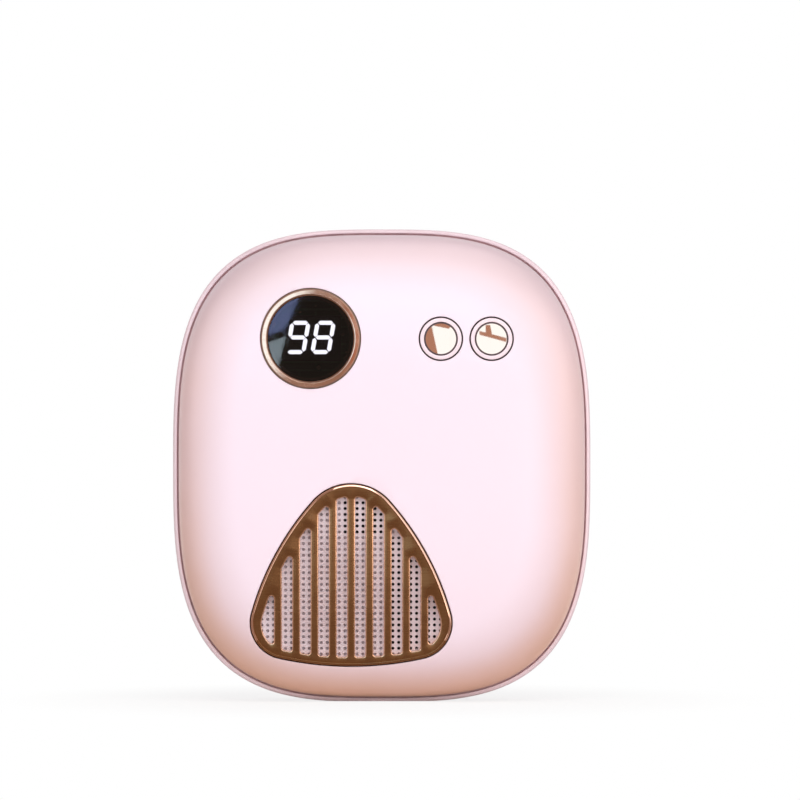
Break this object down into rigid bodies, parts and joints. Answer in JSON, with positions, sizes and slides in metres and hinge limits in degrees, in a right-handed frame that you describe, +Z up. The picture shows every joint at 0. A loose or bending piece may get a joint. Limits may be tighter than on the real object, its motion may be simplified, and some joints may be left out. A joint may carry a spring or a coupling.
{
  "type": "hand warmer",
  "caption": "Pocket hand warmer: crowned two-shell case with a round percentage display, press keys and a rounded triangular grille over a perforated screen.",
  "frame": {"origin": "middle of the object's base: on the flattened foot it stands on, midway across its width and depth", "axes": "+Z up along the height, +X to the right seen from the front (towards the charging port), +Y from the front with the display to the back"},
  "size_m": [0.0832, 0.0283, 0.094],
  "materials": {
    "shell": "satin pink lacquer",
    "trim": "rose gold plating",
    "key_disc": "pale rose gold plating",
    "lens": "polished smoked black",
    "lit_segments": "white, lit",
    "screen": "satin grey",
    "pad": "felt",
    "foam": "closed cell foam",
    "plate": "brushed",
    "dark_plate": "black anodised",
    "film": "amber polyimide film",
    "cell": "laminated foil",
    "board": "solder mask",
    "steel": "nickel plated",
    "black_plastic": "matte",
    "white_plastic": "matte",
    "wire": "soft sleeve",
    "ceramic": "fired"
  },
  "bodies": {
    "case": {"front_cover": "shell", "rear_cover": "shell", "display_bezel": "trim", "display_lens": "lens", "digit_segments": "lit_segments", "display_module": "black_plastic", "power_switch": "black_plastic", "heat_switch": "black_plastic", "grille": "trim", "perforated_screen": "screen", "screen_backing": "pad", "front_heat_plate": "dark_plate", "front_heating_film": "film", "front_foam": "foam", "battery_cell": "cell", "protection_board": "board", "rear_foam": "foam", "rear_heating_film": "film", "rear_heat_plate": "plate", "main_board": "board", "board_screws": "steel", "charging_port": "steel", "port_tongue": "black_plastic", "battery_connector": "white_plastic", "front_heater_connector": "white_plastic", "rear_heater_connector": "white_plastic", "battery_leads": "wire", "front_heater_leads": "wire", "rear_heater_leads": "wire", "power_inductor": "black_plastic", "control_chip": "black_plastic", "board_capacitors": "ceramic", "thermistor": "ceramic"},
    "power_key": {"power_key": "shell", "power_key_disc": "key_disc"},
    "heat_key": {"heat_key": "shell", "heat_key_disc": "key_disc"},
    "power_plunger": {"power_plunger": "white_plastic"},
    "heat_plunger": {"heat_plunger": "white_plastic"}
  },
  "joints": [
    {"name": "power_key_press", "type": "slide", "parent": "case", "child": "power_key", "axis": [0, 1, 0], "range_m": [0, 0.0003], "stiffness_N_per_m": 4000, "springref_m": -0.0001},
    {"name": "heat_key_press", "type": "slide", "parent": "case", "child": "heat_key", "axis": [0, 1, 0], "range_m": [0, 0.0003], "stiffness_N_per_m": 4000, "springref_m": -0.0001},
    {"name": "power_plunger_press", "type": "slide", "parent": "case", "child": "power_plunger", "axis": [0, 1, 0], "range_m": [0, 0.0003]},
    {"name": "heat_plunger_press", "type": "slide", "parent": "case", "child": "heat_plunger", "axis": [0, 1, 0], "range_m": [0, 0.0003]}
  ],
  "couplings": [
    {"joint": "power_plunger_press", "follows": "power_key_press", "ratio": 1},
    {"joint": "heat_plunger_press", "follows": "heat_key_press", "ratio": 1}
  ]
}
